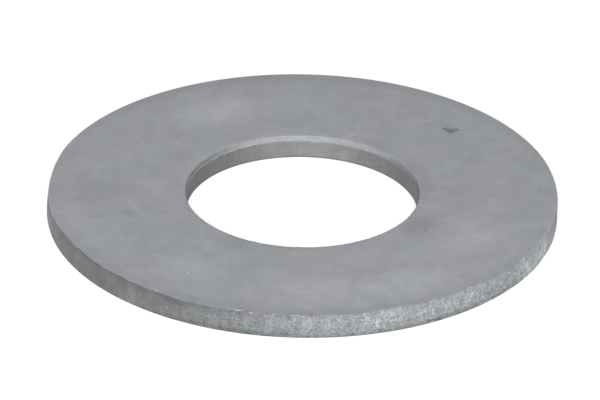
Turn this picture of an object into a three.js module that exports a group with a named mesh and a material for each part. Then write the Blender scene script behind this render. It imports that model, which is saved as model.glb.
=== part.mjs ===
// Flat washer in millimetres: one solid ring, blanked and pierced from steel plate.
// The origin is the centre of the bottom face, and +Z runs along the axis to the top face.
import * as THREE from "three";

// Driving dimensions.
const outerDiameter = 76.6;
const boreDiameter = 34.7;
const thickness = 3.6;

// The blanking die draws the outer top edge down in a wide, shallow curve.
const dieRollWidth = 2.8;
const dieRollDepth = 0.07;

// The metal broke away at the top of the hole, so the last of the wall flares outwards.
const breakHeight = 0.8;
const breakFlare = 0.25;

// The punch rounds the bottom edge of the hole, and the rim's bottom edge is just eased.
const punchRollWidth = 0.3;
const punchRollDepth = 0.05;
const rimEase = 0.1;

// Facets.
const ringSegments = 144;
const dieRollSteps = 5;
const punchRollSteps = 3;

const outerRadius = outerDiameter / 2;
const boreRadius = boreDiameter / 2;

const steel = new THREE.MeshStandardMaterial({ color: 0x9b9da0, roughness: 0.6, metalness: 0.85 });

// Half of the washer's section, anticlockwise from the bottom face, closed on itself.
// x is the distance from the axis and y is the height.
function section() {
  const punchRoll = new THREE.EllipseCurve(
    boreRadius + punchRollWidth, punchRollDepth,
    punchRollWidth, punchRollDepth,
    Math.PI, 1.5 * Math.PI,
  );
  const dieRoll = new THREE.EllipseCurve(
    outerRadius - dieRollWidth, thickness - dieRollDepth,
    dieRollWidth, dieRollDepth,
    0, 0.5 * Math.PI,
  );
  const points = [
    ...punchRoll.getPoints(punchRollSteps),
    new THREE.Vector2(outerRadius - rimEase, 0),
    new THREE.Vector2(outerRadius, rimEase),
    ...dieRoll.getPoints(dieRollSteps),
    new THREE.Vector2(boreRadius + breakFlare, thickness),
    new THREE.Vector2(boreRadius, thickness - breakHeight),
  ];
  points.push(points[0].clone());
  return points;
}

function washer() {
  const geometry = new THREE.LatheGeometry(section(), ringSegments);
  geometry.rotateX(Math.PI / 2);
  const mesh = new THREE.Mesh(geometry, steel);
  mesh.name = "washer";
  return mesh;
}

const group = new THREE.Group();
group.add(washer());

export default group;
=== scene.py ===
import math

import bpy
import numpy as np
from mathutils import Matrix, Vector


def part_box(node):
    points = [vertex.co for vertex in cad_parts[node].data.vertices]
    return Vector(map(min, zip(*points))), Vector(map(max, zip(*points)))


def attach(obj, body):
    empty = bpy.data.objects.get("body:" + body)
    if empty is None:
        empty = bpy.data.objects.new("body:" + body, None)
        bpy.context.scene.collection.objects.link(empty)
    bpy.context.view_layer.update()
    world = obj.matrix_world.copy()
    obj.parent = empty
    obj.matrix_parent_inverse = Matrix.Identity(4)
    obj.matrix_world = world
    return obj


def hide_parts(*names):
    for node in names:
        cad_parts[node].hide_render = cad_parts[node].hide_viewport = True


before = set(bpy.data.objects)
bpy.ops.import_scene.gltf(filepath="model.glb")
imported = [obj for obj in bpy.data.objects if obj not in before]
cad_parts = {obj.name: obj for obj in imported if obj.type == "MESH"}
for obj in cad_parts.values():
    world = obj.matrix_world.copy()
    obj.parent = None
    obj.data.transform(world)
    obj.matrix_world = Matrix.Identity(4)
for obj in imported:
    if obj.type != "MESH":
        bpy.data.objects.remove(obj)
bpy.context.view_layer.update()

MM = 0.001
low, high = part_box("washer")
OUTER_RADIUS = (high[0] - low[0]) / 2 / MM
THICKNESS = (high[2] - low[2]) / MM

# The rest of the washer's section.
BORE_RADIUS = 17.35
BREAK_HEIGHT = 0.8      # the broken band round the top of the hole
BREAK_FLARE = 0.25
DENTED = (42.2, 30.3)   # a small cluster of dents in the top face: its angle and radius
# Each dent: its place from the middle of the cluster, and its radius.
DENTS = [
    (-0.76, 0.50, 0.46),
    (-0.55, 0.10, 0.32),
    (0.05, 0.05, 0.55),
    (0.45, -0.20, 0.42),
    (0.70, -0.40, 0.34),
    (0.12, -0.75, 0.44),
    (-0.28, -0.42, 0.42),
    (0.82, 0.58, 0.34),
    (1.16, 0.16, 0.38),
]
DENT_DEPTH = 0.08
DIE_ROLL_WIDTH = 2.8    # the outer top edge, drawn down by the blanking die
DIE_ROLL_DEPTH = 0.07
PUNCH_ROLL_WIDTH = 0.3  # the hole's bottom edge, rounded by the punch
PUNCH_ROLL_DEPTH = 0.05
HOLE_EDGE_DROP = 0.02   # how far the hole's top edge is below the face
RIM_EASE = 0.06         # the rim's bottom edge
FOOT_TUCK = 0.02        # how far the land round the bottom of the rim stands back; its colour is painted dark as shade
CORNER_SOFT = 0.22      # the outer top corner is rounded by 0.7 of this at the left and 0.6 at the right
SOFT_HEIGHT = 2.2 * CORNER_SOFT

# How far the surfaces stand back from the plain section: the mean depth, or for crumbs the greatest.
LUMP_DEPTH = 0.02       # these three are for the break on the rim
GRAIN_DEPTH = 0.025
CRUMB_DEPTH = 0.015
WAVE_DEPTH = 0.006      # the slow waves round the rim
STREAK_DEPTH = 0.004    # the upright streaks on the burnished rim and the punched wall
BAND_DEPTH = 0.009      # the lumps of the broken band in the hole

# How many points go round the ring, and how many rows of them each part of the section has.
SEGMENTS = 1200
PUNCH_ROLL_ROWS = 4
BOTTOM_ROWS = 5
RIM_ROWS = 26
DIE_ROLL_ROWS = 7
BAND_ROWS = 6
WALL_ROWS = 8

WORLD_ABOVE = 0.62      # how bright the studio is above the horizon, and well below it
WORLD_BELOW = 0.30
FLOOR_HALF = 3.0        # in metres
FLOOR_SHADES = (0.175, 0.185)
FLOOR_GLOW = 0.80       # with the lamps, this makes the floor just white

random = np.random.default_rng(11)
turn = np.arange(SEGMENTS) / SEGMENTS
theta = 2 * math.pi * turn


def ease(low_edge, high_edge, value):
    """0 below low_edge and 1 above high_edge, with a smooth step between them."""
    t = np.clip((value - low_edge) / (high_edge - low_edge), 0, 1)
    return t * t * (3 - 2 * t)


def ring_noise(cells):
    """Smooth noise from -1 to 1 that closes round the ring, with one value for each cell."""
    knots = random.uniform(-1, 1, cells)
    place = turn * cells
    i = np.floor(place).astype(int)
    t = ease(0, 1, place - i)
    return knots[i % cells] * (1 - t) + knots[(i + 1) % cells] * t


def wall_noise(rows, cells_round, cells_up):
    """The same over a wall: one row of values for each height."""
    knots = [ring_noise(cells_round) for _ in range(cells_up + 2)]
    found = []
    for k in range(rows):
        place = cells_up * k / max(rows - 1, 1)
        i = int(place)
        t = ease(0, 1, place - i)
        found.append(knots[i] * (1 - t) + knots[i + 1] * t)
    return found


def facing(degrees):
    """1 on the side of the ring at this angle from +X, falling to -1 opposite."""
    return np.cos(theta - math.radians(degrees))


# How light the rim is painted, as light and shade by how the light falls round it: the angle, the factor
# at its top edge, and the factor lower down.
RIM_PAINTED_LIGHT = [
    (-178, 1.35, 1.65),
    (-170, 1.30, 1.55),
    (-158, 0.89, 1.14),
    (-145, 0.73, 0.90),
    (-135, 0.60, 0.78),
    (-125, 0.54, 0.79),
    (-115, 0.53, 0.70),
    (-105, 0.57, 0.66),
    (-95, 0.65, 0.79),
    (-85, 0.80, 0.80),
    (-65, 0.78, 0.79),
    (-55, 0.88, 0.87),
    (-45, 0.90, 0.85),
    (-35, 0.97, 1.01),
    (-25, 1.32, 1.57),
    (-12, 1.48, 1.78),
    (15, 1.00, 1.00),
    (90, 0.80, 0.87),
    (165, 0.90, 1.20),
]

# Round the front and right the rim broke away rough, but from about -20 degrees to the right end
# it is as smooth as the face. The rest is burnished.
END_EDGES = (0.890, 0.985)  # the values of end_place where the smooth end begins and is complete
end_place = facing(0) + 0.03 * ring_noise(60) + 0.03 * ring_noise(190)
right_end = ease(*END_EDGES, end_place)
broken_side = facing(-60) + 0.06 * ring_noise(26) + 0.07 * ring_noise(110) + 0.05 * ring_noise(300)
rough = 0.55 * ease(0.25, 0.50, broken_side) + 0.45 * ease(0.55, 0.82, broken_side)
# Painted light: the break is painted palest to the right, where the light falls on it. Painted shade: the
# land below it, where the rim meets the floor, is painted dark, most at the front and back.
pale = ease(-0.3, 1.0, facing(-10) + 0.1 * ring_noise(40)) * (1 - 0.8 * right_end)
land_shows = ease(0.5, 0.85, facing(-75) + 0.08 * ring_noise(30))
land_shows = np.maximum(land_shows, 0.6 * ease(0.5, 0.9, facing(75) + 0.1 * ring_noise(30)))
land_height = 0.58 + 0.30 * ring_noise(34) + 0.16 * ring_noise(240) + 0.25 * ease(0.93, 1.0, facing(-62))
angles, edge_tones, lower_tones = zip(*RIM_PAINTED_LIGHT)
edge_tone = np.interp(theta, np.radians(angles), edge_tones, period=2 * math.pi)
lower_tone = np.interp(theta, np.radians(angles), lower_tones, period=2 * math.pi)
# The outer top corner is crisp at the back. Along the front and at the left end it leans in, with small
# kinks. It is rounded at the left end and at the right, where painted shade makes it a little darker.
left_end = ease(0.89, 0.99, facing(186))
front = ease(-0.1, 0.4, facing(-90))
right_side = ease(0.50, 0.80, facing(0))
kinks = 0.20 * ring_noise(46) + 0.08 * ring_noise(150)
lean = 0.05 + np.maximum(front, 0.65 * left_end) * (0.30 + kinks * (1 - 0.6 * left_end))
lean = lean * (1 - 0.75 * right_side)
lean_height = 0.05 + 2.3 * np.maximum(front, left_end) + 0.8 * left_end
soft_right = ease(0.75, 0.95, facing(-22))
soft = CORNER_SOFT * np.maximum(0.7 * left_end, 0.6 * soft_right)
corner_tone = 1 - 0.11 * soft_right
die_drop = DIE_ROLL_DEPTH * (0.3 + 0.7 * front) * (1 - 0.8 * right_end)
die_drop = die_drop * (1 + 0.25 * ring_noise(40) + 0.12 * ring_noise(160))


class Section:
    """Rows of points round the ring, each with its radius, height and what its surface is like."""

    # What a surface can be like, with the usual value of each.
    MASKS = {
        "fracture": 0,  # broken off rough
        "pale": 0,      # where the break is painted paler, as light falling on it
        "foot": 0,      # the land round the bottom of the rim, painted dark as shade where it meets the floor
        "wall": 0,      # the punched wall of the hole
        "band": 0,      # the broken band above it
        "face": 0,      # as smooth as the two faces
        "top": 0,       # on the top face, which has the marks
        "roll": 0,      # the painted shade on the drawn-down outer edge
        "dent": 0,
        "tone": 1,      # how light it is painted, as light and shade
    }

    def __init__(self):
        self.radius, self.height = [], []
        self.masks = {name: [] for name in self.MASKS}

    def row(self, radius, height, **masks):
        self.radius.append(np.broadcast_to(radius, SEGMENTS).astype(float))
        self.height.append(np.broadcast_to(height, SEGMENTS).astype(float))
        for name, usual in self.MASKS.items():
            self.masks[name].append(np.broadcast_to(masks.get(name, usual), SEGMENTS).astype(float))


def add_punch_roll(section):
    for k in range(PUNCH_ROLL_ROWS):
        a = 0.5 * math.pi * k / PUNCH_ROLL_ROWS
        section.row(
            BORE_RADIUS + PUNCH_ROLL_WIDTH * (1 - math.cos(a)),
            PUNCH_ROLL_DEPTH * (1 - math.sin(a)),
            wall=1,
        )


def add_bottom(section):
    inner = BORE_RADIUS + PUNCH_ROLL_WIDTH
    outer = OUTER_RADIUS - FOOT_TUCK - 2 * RIM_EASE
    for k in range(BOTTOM_ROWS):
        section.row(inner + (outer - inner) * k / (BOTTOM_ROWS - 1), 0, face=1)


def add_rim(section):
    lumps = wall_noise(RIM_ROWS, 260, 4)
    grains = wall_noise(RIM_ROWS, 600, 12)
    crumbs = random.uniform(0, 1, (RIM_ROWS, SEGMENTS))
    ledge = wall_noise(RIM_ROWS, 700, 3)
    streaks = 0.6 * ring_noise(97) + 0.4 * ring_noise(233)
    waves = ring_noise(34)
    top = THICKNESS - die_drop
    crack = 0.4 + (top + 0.4) * rough + 0.3 * ring_noise(60) + 0.2 * ring_noise(170)
    skin = right_side * (0.05 + 0.26 * ring_noise(70) + 0.20 * ring_noise(160))
    for k in range(RIM_ROWS):
        height = RIM_EASE + (top - RIM_EASE) * k / (RIM_ROWS - 1)
        below = top - height
        foot = land_shows * (1 - ease(land_height - 0.25, land_height + 0.25, height))
        # The smooth right end reaches further round at the top, and a thin skin of it goes on from there.
        end = ease(*END_EDGES, end_place + 0.008 - 0.034 * ease(0.5, 3.2, below))
        end = np.maximum(end, right_side * ease(skin + 0.15, skin - 0.15, below))
        fracture = (1 - ease(crack - 0.3, crack + 0.3, height)) * rough * (1 - end)
        broken = LUMP_DEPTH * (1 + lumps[k]) + GRAIN_DEPTH * (1 + grains[k]) + CRUMB_DEPTH * crumbs[k]
        smooth = STREAK_DEPTH * (1 + streaks)
        inset = fracture * broken + (1 - fracture) * smooth + WAVE_DEPTH * (1 + waves) + foot * FOOT_TUCK
        inset = inset + (FOOT_TUCK if k == 0 else 0)
        inset = inset + lean * (1 - ease(0, 1, below / lean_height)) ** 1.3
        rounded = soft * (1 - np.sqrt(1 - (1 - np.clip(below / SOFT_HEIGHT, 0, 1)) ** 2))
        # Painted light and shade: the rim's factor for its angle, from its top edge to lower down.
        upper = ease(3.0, 0.2, below)
        tone = lower_tone + (edge_tone - lower_tone) * upper
        section.row(
            OUTER_RADIUS - inset - rounded,
            height,
            fracture=fracture * (1 - 0.3 * rough * ease(0.25, 0.0, below) * (1 + ledge[k])),
            foot=foot,
            pale=pale,
            face=np.maximum(end, left_end * ease(0.5, 0.0, below)),
            tone=tone * (1 + (corner_tone - 1) * ease(SOFT_HEIGHT, 0.0, below)),
        )


def add_die_roll(section):
    shade = 0.35 + 0.65 * ease(0.3, 0.95, np.abs(np.sin(theta)) + 0.15 * ring_noise(24))
    shade = (shade + 0.4 * ease(0.85, 1.0, facing(-105))) * (1 - right_end)
    chips = ease(-0.1, 0.8, ring_noise(170) + 0.5 * ring_noise(420)) * rough * (1 - 0.6 * right_side)
    edge = lean + soft + 0.05
    for k in range(DIE_ROLL_ROWS):
        chipped = ease(0.0, 0.25, chips - 0.33 * k)
        inward = (k / DIE_ROLL_ROWS) ** 1.6
        # Where chipped, the roll takes the rim's painted light, and its first row the corner's painted
        # shade.
        section.row(
            OUTER_RADIUS - edge - (DIE_ROLL_WIDTH - edge) * inward,
            THICKNESS - die_drop * (1 - inward) ** 2,
            face=1 - chipped,
            fracture=chipped,
            pale=pale,
            tone=(1 + (edge_tone - 1) * chipped) * (corner_tone if k == 0 else 1),
            top=1,
            roll=shade * (1 - ease(0.3, 1.0, inward)),
        )


def add_top(section):
    """The flat of the top face, with closer rows where it is dented."""
    outer = OUTER_RADIUS - DIE_ROLL_WIDTH
    inner = BORE_RADIUS + BREAK_FLARE
    angle, middle = DENTED
    reach, spacing = 1.4, 0.2
    marked = np.arange(middle + reach, middle - reach, -spacing)
    radii = [outer, 33.5, *marked, 27, 24, 21, 19, inner + 0.08]
    across, along = middle * math.cos(math.radians(angle)), middle * math.sin(math.radians(angle))
    for radius in radii:
        dent = np.zeros(SEGMENTS)
        for x, y, size in DENTS:
            away = np.hypot(radius * np.cos(theta) - across - x, radius * np.sin(theta) - along - y)
            dent = np.maximum(dent, 1 - ease(0.2, 1.0, away / size))
        section.row(radius, THICKNESS - DENT_DEPTH * dent, face=1, top=1, dent=dent)
    chips = 0.03 * ring_noise(180) + 0.02 * ring_noise(400)
    section.row(inner + chips, THICKNESS - HOLE_EDGE_DROP, face=0.4, band=0.6, top=1)


def add_bore(section):
    step = THICKNESS - BREAK_HEIGHT + 0.05 * ring_noise(30) + 0.05 * ring_noise(130)
    step = step + 0.12 * ease(0.9, 1.0, facing(92))
    lumps = wall_noise(BAND_ROWS, 260, 2)
    # Painted highlight: a dashed light line along the lower edge of the band, at the far left of the hole.
    edge_glint = 0.5 * ease(0.8, 0.95, facing(142)) * ease(-0.2, 0.4, ring_noise(150))
    # Painted light and shade on the band: it is painted dimmer toward both ends of the hole. At the right
    # it is painted lighter at the top and darker lower down, so it shades into the wall below it.
    band_tone = 1 - 0.18 * ease(0.85, 0.65, facing(80)) * ease(-0.2, 0.2, facing(20))
    band_tone = band_tone - 0.27 * ease(0.78, 0.98, facing(155)) + 0.12 * ease(0.94, 1.0, facing(180))
    band_tone = band_tone - 0.05 * ease(0.8, 1.0, facing(85)) - 0.08 * ease(0.985, 1.0, facing(38))
    merged = ease(0.78, 0.88, facing(10))
    for k in range(BAND_ROWS):
        part = (k + 0.6) / BAND_ROWS
        height = (THICKNESS - HOLE_EDGE_DROP) * (1 - part) + (step + 0.03) * part
        flare = BREAK_FLARE * (1 - part) * (1 + 0.15 * lumps[k]) + BAND_DEPTH * (1 + lumps[k])
        edge = edge_glint if k == BAND_ROWS - 1 else 0
        tone = band_tone * (1 + merged * (0.06 - 0.18 * part)) + edge
        section.row(BORE_RADIUS + flare, height, band=1, tone=tone)
    streaks = 0.6 * ring_noise(83) + 0.4 * ring_noise(211)
    # Painted light and shade on the wall of the hole, by how the light falls round it.
    wall_tone = 1.0 - 0.09 * ease(0.9, 1.0, facing(140)) + 0.10 * ease(0.97, 1.0, facing(74))
    wall_tone = wall_tone + 0.21 * ease(0.86, 0.98, facing(0)) + 0.08 * ease(0.95, 1.0, facing(168))
    for k in range(WALL_ROWS):
        height = (step - 0.02) * (1 - k / WALL_ROWS) + PUNCH_ROLL_DEPTH * k / WALL_ROWS
        section.row(BORE_RADIUS + STREAK_DEPTH * (1 + streaks), height, wall=1, tone=wall_tone)


def build_mesh(section):
    rows = len(section.radius)
    radius = np.array(section.radius)
    height = np.array(section.height)
    points = np.stack([radius * np.cos(theta), radius * np.sin(theta), height], axis=-1) * MM
    index = np.arange(rows * SEGMENTS).reshape(rows, SEGMENTS)
    next_row = np.roll(index, -1, axis=0)
    quads = np.stack([index, np.roll(index, -1, axis=1), np.roll(next_row, -1, axis=1), next_row], axis=-1)
    mesh = bpy.data.meshes.new("washer_fine")
    mesh.from_pydata(points.reshape(-1, 3).tolist(), [], quads.reshape(-1, 4).tolist())
    for name in section.MASKS:
        values = mesh.attributes.new(name, "FLOAT", "POINT")
        values.data.foreach_set("value", np.array(section.masks[name]).ravel().astype(np.float32))
    mesh.polygons.foreach_set("use_smooth", [True] * len(mesh.polygons))
    mesh.update()
    return mesh


class Nodes:
    """Short names for the shader nodes that the steel and the floor are made of."""

    def __init__(self, material):
        material.use_nodes = True
        self.tree = material.node_tree
        self.shader = self.tree.nodes["Principled BSDF"]

    def add(self, kind, inputs, output=0, **settings):
        node = self.tree.nodes.new(kind)
        for key, value in settings.items():
            setattr(node, key, value)
        for key, value in inputs.items():
            socket = node.inputs[key]
            if isinstance(value, bpy.types.NodeSocket):
                self.tree.links.new(value, socket)
            elif socket.type == "RGBA":
                socket.default_value = (*value, 1)
            else:
                socket.default_value = value
        return node.outputs[output]

    def math(self, operation, a, b=0.0):
        return self.add("ShaderNodeMath", {0: a, 1: b}, operation=operation)

    def mix(self, factor, a, b):
        return self.add(
            "ShaderNodeMix", {"Factor": factor, 6: a, 7: b}, output=2, data_type="RGBA"
        )

    def blend(self, factor, a, b):
        return self.add("ShaderNodeMix", {"Factor": factor, 2: a, 3: b}, data_type="FLOAT")

    def step(self, value, start, end, low_value=0.0, high_value=1.0):
        return self.add(
            "ShaderNodeMapRange",
            {"Value": value, 1: start, 2: end, 3: low_value, 4: high_value},
            interpolation_type="SMOOTHSTEP",
        )

    def mask(self, name):
        return self.add("ShaderNodeAttribute", {}, output=2, attribute_name=name)

    def noise(self, vector, size_mm, detail=2.0, rough=0.5, output=0):
        return self.add(
            "ShaderNodeTexNoise",
            {"Vector": vector, "Scale": 1 / (size_mm * MM), "Detail": detail, "Roughness": rough},
            output=output,
        )

    def spots(self, vector, cell_mm, size, share):
        """1 inside small round spots: one in each cell of about cell_mm, for that share of the cells."""
        inputs = {"Vector": vector, "Scale": 1 / (cell_mm * MM)}
        node = self.add("ShaderNodeTexVoronoi", inputs).node
        inside = self.step(node.outputs["Distance"], size, size * 0.4)
        lot = self.add("ShaderNodeSeparateColor", {0: node.outputs["Color"]})
        chosen = self.math("LESS_THAN", lot, share)
        return self.math("MULTIPLY", inside, chosen)

    def squeeze(self, vector, factors):
        return self.add("ShaderNodeVectorMath", {0: vector, 1: factors}, operation="MULTIPLY")

    def tint(self, colour, amount):
        """The colour made lighter or darker by a number."""
        return self.add("ShaderNodeVectorMath", {0: colour, "Scale": amount}, operation="SCALE")

    def tint_where(self, mask, colour, amount):
        """The colour made lighter or darker by that number where the mask is 1."""
        return self.tint(colour, self.blend(mask, 1.0, amount))

    def vary(self, colour, noises, **amounts):
        """The colour made darker or lighter by each named noise, by up to the share given for it."""
        for name, amount in amounts.items():
            share = self.step(noises[name], 0.25, 0.75, 1 - amount, 1 + amount)
            colour = self.tint(colour, share)
        return colour


# Marks on the top face: angle from +X and radius of the middle, length and width, the turn of
# the length from the X axis, and how much lighter (or, below 0, darker) the steel is there.
PATCHES = [
    (-85, 30.5, 30, 13, 0, 0.10),
    (-60, 31.5, 18, 13, 30, 0.14),
    (-28, 29.0, 17, 12, 60, 0.10),
    (118, 28.5, 22, 13, 25, 0.22),
    (91, 30.0, 15, 13, 0, 0.08),
    (-122, 29.5, 17, 11, -30, 0.10),
    (-30, 20.5, 15, 8, 60, -0.18),
    (-122, 19.5, 12, 5, -32, -0.09),
    (0, 24.0, 13, 18, 0, -0.08),
    (0, 18.5, 5, 12, 0, -0.09),
    (20, 18.0, 15, 6, 110, -0.11),
    (48, 18.0, 15, 6, 138, -0.10),
    (0, 33.5, 9, 22, 0, -0.05),
    (181, 31.0, 14, 16, 0, -0.09),
    (152, 22.0, 10, 14, 0, -0.05),
]
SMUDGES = [
    (-164, 31.8, 4.5, 3.5, 10, -0.11),
    (-163, 27.0, 4.5, 3.5, -20, -0.09),
    (-173, 33.8, 2.5, 2.0, 0, -0.08),
    (-150, 29.0, 2.5, 1.5, 0, -0.07),
    (42.4, 30.4, 3.6, 3.6, 0, -0.16),
    (58, 28.0, 1.6, 1.2, 0, -0.10),
    (-166, 25.4, 8.0, 1.6, -61, 0.08),
    (-63.4, 27.1, 4.5, 1.4, 12, -0.08),
    (-47.2, 34.8, 2.0, 0.9, 15, -0.09),
    (-40.4, 27.0, 2.0, 0.8, 5, -0.06),
    (-36.3, 37.1, 1.0, 1.8, 0, -0.09),
    (-29.3, 33.2, 1.5, 0.7, 0, -0.08),
]
SPECKS = [
    (-141, 26.5, 2.4, 0.4, 18, 0.22),
    (-142.6, 27.6, 0.9, 0.5, -40, 0.20),
    (-122.4, 30.9, 0.6, 0.6, 0, 0.70),
    (115.6, 27.8, 0.6, 0.6, 0, 0.25),
    (161.4, 27.4, 0.6, 0.7, 0, 0.20),
    (89.7, 27.5, 0.6, 0.6, 0, 0.20),
    (72.3, 23.9, 0.6, 0.6, 0, 0.20),
    (-23.3, 27.5, 0.9, 0.7, 30, 0.10),
    (-79.4, 30.9, 1.6, 0.6, 0, 0.08),
    (-103.5, 37.70, 2.4, 0.40, -13, 0.50),
    (-123.8, 37.75, 0.9, 0.5, -30, 0.35),
    (-69.5, 37.7, 1.5, 0.4, 17, 0.25),
]
# Small marks on the walls: angle, radius, height, width, how tall they are, and the same amount.
WALL_SPOTS = [
    (48, 17.35, 0.9, 0.6, 0.9, -0.40),
    (102, 17.5, 3.2, 0.7, 0.5, -0.30),
    (-100.8, 38.0, 3.45, 0.8, 0.6, 0.80),
    (-127.7, 38.2, 2.15, 0.5, 0.9, 0.45),
    (-126.7, 38.2, 1.25, 0.5, 1.4, 0.30),
    (-120.5, 38.1, 1.80, 0.8, 1.2, 0.25),
    (-113.8, 38.1, 1.60, 1.4, 1.8, 0.20),
    (-111.0, 38.1, 2.00, 0.7, 1.2, 0.25),
    (-109.8, 38.2, 1.00, 0.7, 0.8, 0.35),
    (-106.8, 38.1, 1.80, 1.0, 3.2, 0.28),
    (-105.4, 38.1, 1.80, 0.8, 3.2, -0.14),
    (-104.0, 38.1, 1.90, 0.9, 2.8, 0.25),
    (-102.0, 38.1, 1.40, 0.8, 2.8, 0.25),
    (-100.6, 38.1, 1.60, 0.8, 2.6, -0.14),
    (-98.5, 38.2, 1.20, 0.6, 0.7, 0.30),
]


def add_mark(n, light, ground, angle, radius, height, length, width, tall, turned, amount):
    """Add one soft-edged mark to a running number."""
    a = math.radians(angle)
    local = n.add(
        "ShaderNodeMapping",
        {
            "Vector": ground,
            "Location": (radius * math.cos(a) * MM, radius * math.sin(a) * MM, height * MM),
            "Rotation": (0, 0, math.radians(turned)),
            "Scale": (length / 2 * MM, width / 2 * MM, tall / 2 * MM),
        },
        vector_type="TEXTURE",
    )
    away = n.add("ShaderNodeVectorMath", {0: local}, output=1, operation="LENGTH")
    return n.math("ADD", light, n.step(away, 0.1, 1.0, amount, 0.0))


def wall_marks(n, place):
    """How light the marks on the rim and in the hole make them, as a number round 1."""
    light = 1.0
    for angle, radius, height, width, tall, amount in WALL_SPOTS:
        light = add_mark(n, light, place, angle, radius, height, width, width, tall, 0, amount)
    return light


def face_marks(n, place):
    """How light the top face's marks make it, as a number round 1. All but the specks are uneven."""
    wander = n.noise(place, 2.2, detail=2, output="Color")
    wander = n.add("ShaderNodeVectorMath", {0: wander, 1: (0.5, 0.5, 0.5)}, operation="SUBTRACT")
    moved = n.add("ShaderNodeVectorMath", {0: place, 1: n.tint(wander, 1.6 * MM)}, operation="ADD")
    light = 0.0
    for marks, ground in ((PATCHES, moved), (SMUDGES, moved), (SPECKS, place)):
        for angle, radius, length, width, turned, amount in marks:
            light = add_mark(n, light, ground, angle, radius, 0, length, width, 1 / MM, turned, amount)
    return n.math("ADD", n.math("MULTIPLY", light, n.mask("top")), 1.0)


def scratches(n, place, turned, amount):
    """Short fine lines all at about the same angle, as a number round 1."""
    line = n.add(
        "ShaderNodeMapping",
        {"Vector": place, "Rotation": (0, 0, math.radians(turned)), "Scale": (0.16, 3.2, 1)},
    )
    return n.step(n.noise(line, 0.9, detail=1), 0.68, 0.76, 1.0, 1 + amount)


def steel_noises(n, place):
    """The noises and spots that the steel's surfaces share, by name."""
    stirred = n.tint(n.noise(place, 0.5, output="Color"), 0.35 * MM)
    stirred = n.add("ShaderNodeVectorMath", {0: place, 1: stirred}, operation="ADD")
    return {
        "broad": n.noise(place, 16, detail=2),
        "hue": n.noise(place, 9, detail=3),
        "mottle": n.noise(place, 3.0, detail=3, rough=0.6),
        "break_hue": n.noise(place, 1.6, detail=1),
        "speckle": n.noise(place, 0.9, detail=3, rough=0.65),
        "grain": n.noise(place, 0.55, detail=2, rough=0.7),
        "fine": n.noise(place, 0.36, detail=3, rough=0.8),
        "lumps": n.noise(n.squeeze(place, (1, 1, 0.7)), 1.2, detail=3),
        "upright": n.noise(n.squeeze(place, (1, 1, 0.15)), 0.8, detail=3, rough=0.6),
        "level": n.noise(n.squeeze(place, (0.25, 0.25, 2.6)), 0.7, detail=3, rough=0.7),
        "pits": n.spots(stirred, 0.55, 0.45, 0.28),
        "sparks": n.spots(stirred, 0.50, 0.32, 0.06),
    }


def face_colour(n, place, noises):
    hue = n.step(noises["hue"], 0.35, 0.65)
    colour = n.mix(hue, (0.2663, 0.2796, 0.2942), (0.2718, 0.2759, 0.2942))
    colour = n.vary(colour, noises, broad=0.03, mottle=0.04, speckle=0.035, fine=0.02)
    colour = n.tint_where(n.spots(place, 4.5, 0.05, 0.30), colour, 1.25)
    colour = n.tint_where(n.spots(place, 6.0, 0.09, 0.30), colour, 0.88)
    for turned, amount in ((20, 0.05), (75, -0.04), (140, 0.05)):
        colour = n.tint(colour, scratches(n, place, turned, amount))
    # Painted shade on the drawn-down outer edge.
    colour = n.tint_where(n.mask("roll"), colour, 0.89)
    colour = n.tint(colour, face_marks(n, place))
    return n.tint_where(n.mask("dent"), colour, 0.43)


def rim_colour(n, noises):
    """The burnished rim."""
    colour = n.vary((0.243, 0.2465, 0.252), noises, mottle=0.06, speckle=0.05, upright=0.08)
    return n.tint_where(noises["sparks"], colour, 1.15)


def break_colour(n, noises):
    """The rough break on the rim, with its pits and bright grains."""
    hue = n.step(noises["break_hue"], 0.35, 0.65)
    colour = n.mix(hue, (0.203, 0.2215, 0.226), (0.212, 0.2195, 0.230))
    colour = n.vary(colour, noises, lumps=0.13, mottle=0.07, fine=0.36, upright=0.11)
    # Painted light: the break lighter to the right, with its grain stronger there.
    pale = n.mask("pale")
    colour = n.tint_where(pale, colour, n.step(noises["grain"], 0.3, 0.7, 0.84, 1.16))
    colour = n.tint_where(pale, colour, 1.36)
    colour = n.tint_where(noises["pits"], colour, 0.74)
    return n.tint_where(noises["sparks"], colour, 1.45)


def steel_colour(n, place, noises):
    wall = n.vary((0.230, 0.237, 0.2425), noises, mottle=0.05, level=0.06, upright=0.04, fine=0.05)
    band = n.vary((0.1975, 0.2020, 0.2080), noises, mottle=0.05, fine=0.08)
    colour = n.mix(n.mask("fracture"), rim_colour(n, noises), break_colour(n, noises))
    # Painted shade: the land round the bottom of the rim is darker, in streaks, where it meets the floor.
    colour = n.tint_where(n.mask("foot"), colour, n.step(noises["level"], 0.3, 0.7, 0.50, 0.96))
    colour = n.mix(n.mask("face"), colour, face_colour(n, place, noises))
    colour = n.mix(n.mask("wall"), colour, wall)
    colour = n.mix(n.mask("band"), colour, band)
    # Painted light and shade: each part made lighter or darker by how the light falls on it.
    colour = n.tint(colour, n.mask("tone"))
    return n.tint(colour, wall_marks(n, place))


def steel_bump(n, noises):
    """A fine relief all over, and a deeper one with pits where the rim broke."""
    grains = n.math("MULTIPLY", noises["fine"], 0.09)
    pitted = n.math("SUBTRACT", grains, n.math("MULTIPLY", noises["pits"], 0.04))
    relief = n.math("MULTIPLY", n.math("ADD", noises["fine"], noises["speckle"]), 0.003)
    relief = n.math("ADD", relief, n.math("MULTIPLY", pitted, n.mask("fracture")))
    return n.add("ShaderNodeBump", {"Height": relief, "Distance": MM, "Strength": 1.0})


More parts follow.
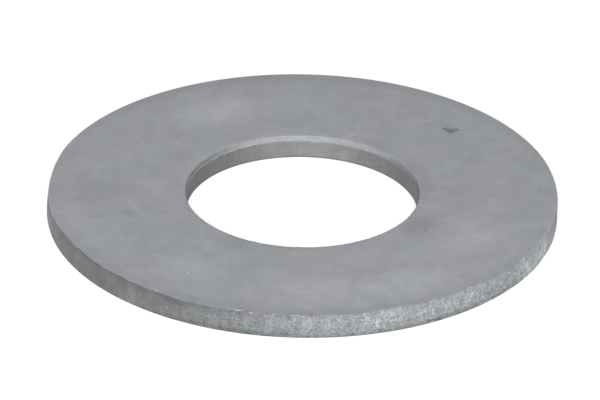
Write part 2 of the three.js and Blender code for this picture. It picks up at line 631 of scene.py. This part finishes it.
def steel_material():
    material = bpy.data.materials.new("sheared_steel")
    n = Nodes(material)
    place = n.add("ShaderNodeTexCoord", {}, output=3)
    noises = steel_noises(n, place)

    roughness = n.blend(n.mask("top"), 0.62, 0.5)
    roughness = n.blend(n.mask("fracture"), roughness, 0.75)
    roughness = n.blend(n.mask("wall"), roughness, 0.45)
    roughness = n.blend(n.mask("band"), roughness, 0.7)
    roughness = n.math("ADD", roughness, n.step(noises["mottle"], 0.2, 0.8, -0.04, 0.04))
    metal = n.blend(n.mask("fracture"), 0.6, 0.35)
    metal = n.blend(n.mask("band"), metal, 0.2)

    n.tree.links.new(steel_colour(n, place, noises), n.shader.inputs["Base Color"])
    n.tree.links.new(roughness, n.shader.inputs["Roughness"])
    n.tree.links.new(metal, n.shader.inputs["Metallic"])
    n.tree.links.new(steel_bump(n, noises), n.shader.inputs["Normal"])
    return material


def make_washer():
    section = Section()
    add_punch_roll(section)
    add_bottom(section)
    add_rim(section)
    add_die_roll(section)
    add_top(section)
    add_bore(section)
    washer = bpy.data.objects.new("washer_fine", build_mesh(section))
    bpy.context.scene.collection.objects.link(washer)
    washer.data.materials.append(steel_material())
    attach(washer, "root")
    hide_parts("washer")


def make_floor():
    half = FLOOR_HALF
    mesh = bpy.data.meshes.new("floor")
    corners = [(-half, -half, 0), (half, -half, 0), (half, half, 0), (-half, half, 0)]
    mesh.from_pydata(corners, [], [(0, 1, 2, 3)])
    floor = bpy.data.objects.new("floor", mesh)
    bpy.context.scene.collection.objects.link(floor)
    paper = bpy.data.materials.new("pale_floor")
    n = Nodes(paper)
    place = n.add("ShaderNodeTexCoord", {}, output=3)
    shade = n.step(n.noise(place, 40, detail=2), 0.3, 0.7, *FLOOR_SHADES)
    n.tree.links.new(n.tint((1, 1, 1), shade), n.shader.inputs["Base Color"])
    n.shader.inputs["Roughness"].default_value = 0.9
    n.shader.inputs["Specular IOR Level"].default_value = 0.1
    n.shader.inputs["Emission Color"].default_value = (1, 1, 1, 1)
    n.shader.inputs["Emission Strength"].default_value = FLOOR_GLOW
    floor.data.materials.append(paper)
    floor.visible_diffuse = False
    floor.visible_glossy = False


def add_softbox(name, azimuth, elevation, distance, width, height, power):
    """A soft light aimed at the washer. Azimuth 0 is the camera's side."""
    light = bpy.data.lights.new(name, "AREA")
    light.shape = "RECTANGLE"
    light.size = width
    light.size_y = height
    light.energy = power
    lamp = bpy.data.objects.new(name, light)
    a, e = math.radians(azimuth), math.radians(elevation)
    place = Vector((math.sin(a) * math.cos(e), -math.cos(a) * math.cos(e), math.sin(e))) * distance
    lamp.location = place
    lamp.rotation_euler = place.to_track_quat("Z", "Y").to_euler()
    bpy.context.scene.collection.objects.link(lamp)


def light_scene():
    """An even white studio, dimmer below the horizon, with a softbox in front and one overhead."""
    world = bpy.data.worlds.new("studio")
    world.use_nodes = True
    tree = world.node_tree
    direction = tree.nodes.new("ShaderNodeTexCoord")
    axes = tree.nodes.new("ShaderNodeSeparateXYZ")
    fade = tree.nodes.new("ShaderNodeMapRange")
    fade.interpolation_type = "SMOOTHSTEP"
    for key, value in enumerate((-0.3, 0.0, WORLD_BELOW, WORLD_ABOVE), start=1):
        fade.inputs[key].default_value = value
    tree.links.new(direction.outputs["Generated"], axes.inputs[0])
    tree.links.new(axes.outputs["Z"], fade.inputs[0])
    tree.links.new(fade.outputs[0], tree.nodes["Background"].inputs["Strength"])
    tree.nodes["Background"].inputs["Color"].default_value = (1, 1, 1, 1)
    bpy.context.scene.world = world
    add_softbox("front", azimuth=0, elevation=22, distance=0.6, width=0.4, height=0.2, power=6.5)
    add_softbox("overhead", azimuth=0, elevation=85, distance=0.6, width=0.5, height=0.5, power=1.6)
    bpy.context.scene.view_settings.view_transform = "Standard"


def place_camera():
    """A long lens well above the floor, with the camera tipped very slightly. Lens sizes are in mm."""
    elevation = math.radians(28.40)
    tip = math.radians(1.0135)
    distance = 21.56 * OUTER_RADIUS * MM
    aim_left = 0.0093 * OUTER_RADIUS * MM
    aim_down = 0.0378 * OUTER_RADIUS * MM
    lens = bpy.data.cameras.new("camera")
    lens.sensor_width = 36
    lens.lens = 330.4
    lens.clip_end = 100
    camera = bpy.data.objects.new("camera", lens)
    turned = Matrix.Rotation(math.pi / 2 - elevation, 3, "X") @ Matrix.Rotation(tip, 3, "Z")
    right, up, back = turned.col
    aim = Vector((0, 0, THICKNESS * MM)) - right * aim_left - up * aim_down
    camera.location = aim + back * distance
    camera.rotation_euler = turned.to_euler()
    bpy.context.scene.collection.objects.link(camera)
    bpy.context.scene.camera = camera


make_washer()
make_floor()
light_scene()
place_camera()
